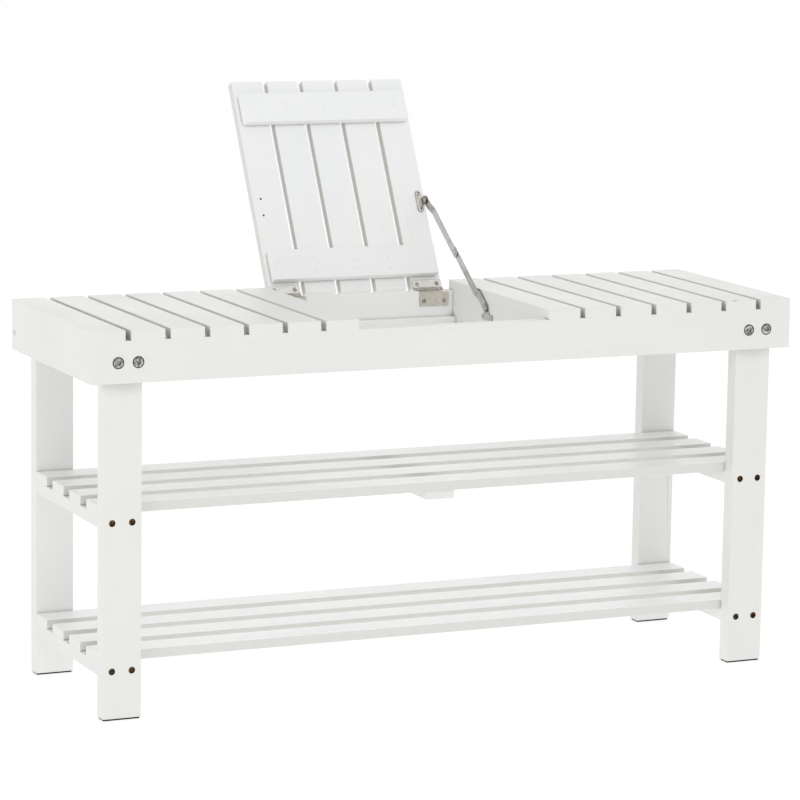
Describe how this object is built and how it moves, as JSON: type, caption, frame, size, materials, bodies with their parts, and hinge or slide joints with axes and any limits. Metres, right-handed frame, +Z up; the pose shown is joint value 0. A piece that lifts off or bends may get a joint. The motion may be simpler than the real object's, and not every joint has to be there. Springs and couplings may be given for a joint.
{
  "type": "storage bench",
  "caption": "Slatted white wooden storage bench: a hinged lid held by a folding stay over a compartment in the seat, and open slatted shelves between square legs.",
  "frame": {"origin": "on the floor, midway along the bench, and midway between the front bolt heads and the top edge of the open lid, which is 75 mm behind the middle of the seat's depth", "axes": "+X along the seat towards the right-hand end seen from the front, +Y from the front face to the back, +Z up"},
  "size_m": [0.9, 0.4397, 0.6938],
  "materials": {
    "white_paint": "satin white lacquer over planed solid wood, faint grain along each board",
    "panel_paint": "satin white lacquer on a thin plywood panel",
    "satin_nickel": "pressed steel with a satin nickel plating",
    "zinc_steel": "bright zinc-plated steel",
    "pad_rubber": "matt dark rubber pad"
  },
  "bodies": {
    "bench": {"left_seat_slat_1": "white_paint", "left_seat_slat_2": "white_paint", "left_seat_slat_3": "white_paint", "left_seat_slat_4": "white_paint", "left_seat_slat_5": "white_paint", "left_seat_slat_6": "white_paint", "left_seat_slat_7": "white_paint", "right_seat_slat_1": "white_paint", "right_seat_slat_2": "white_paint", "right_seat_slat_3": "white_paint", "right_seat_slat_4": "white_paint", "right_seat_slat_5": "white_paint", "right_seat_slat_6": "white_paint", "right_seat_slat_7": "white_paint", "upper_shelf_slat_1": "white_paint", "upper_shelf_slat_2": "white_paint", "upper_shelf_slat_3": "white_paint", "upper_shelf_slat_4": "white_paint", "lower_shelf_slat_1": "white_paint", "lower_shelf_slat_2": "white_paint", "lower_shelf_slat_3": "white_paint", "lower_shelf_slat_4": "white_paint", "front_rail": "white_paint", "back_rail": "white_paint", "left_end_rail": "white_paint", "right_end_rail": "white_paint", "front_left_leg": "white_paint", "front_right_leg": "white_paint", "back_left_leg": "white_paint", "back_right_leg": "white_paint", "left_divider": "white_paint", "right_divider": "white_paint", "compartment_floor": "panel_paint", "floor_cleats": "white_paint", "upper_left_cross_rail": "white_paint", "upper_right_cross_rail": "white_paint", "lower_left_cross_rail": "white_paint", "lower_right_cross_rail": "white_paint", "shelf_centre_batten": "white_paint", "hinge_frame_leaves": "satin_nickel", "hinge_pins": "zinc_steel", "stay_frame_bracket": "satin_nickel", "frame_bolts": "zinc_steel", "shelf_screws": "zinc_steel", "frame_screws": "zinc_steel", "foot_pads": "pad_rubber"},
    "lid": {"lid_slat_1": "white_paint", "lid_slat_2": "white_paint", "lid_slat_3": "white_paint", "lid_slat_4": "white_paint", "lid_slat_5": "white_paint", "lid_front_batten": "white_paint", "lid_rear_batten": "white_paint", "hinge_lid_leaves": "satin_nickel", "stay_lid_bracket": "satin_nickel", "lid_screws": "zinc_steel"},
    "lower_stay": {"stay_lower_arm": "satin_nickel", "lower_arm_rivets": "satin_nickel"},
    "upper_stay": {"stay_upper_arm": "satin_nickel", "upper_arm_rivets": "satin_nickel"}
  },
  "joints": [
    {"name": "lid_hinge", "type": "hinge", "parent": "bench", "child": "lid", "pos_m": [0, 0.071, 0.4413], "axis": [1, 0, 0], "range_deg": [0, 118.5]},
    {"name": "stay_frame_pivot", "type": "hinge", "parent": "bench", "child": "lower_stay", "pos_m": [0.12072, -0.045, 0.433], "axis": [1, 0, 0], "range_deg": [0, 145.52]},
    {"name": "stay_lid_pivot", "type": "hinge", "parent": "lid", "child": "upper_stay", "pos_m": [0.11397, 0.12322, 0.54858], "axis": [1, 0, 0], "range_deg": [-151.29, 0]}
  ],
  "couplings": [
    {"joint": "stay_frame_pivot", "follows": "lid_hinge", "ratio": 1.2279},
    {"joint": "stay_lid_pivot", "follows": "lid_hinge", "ratio": -1.2766}
  ]
}
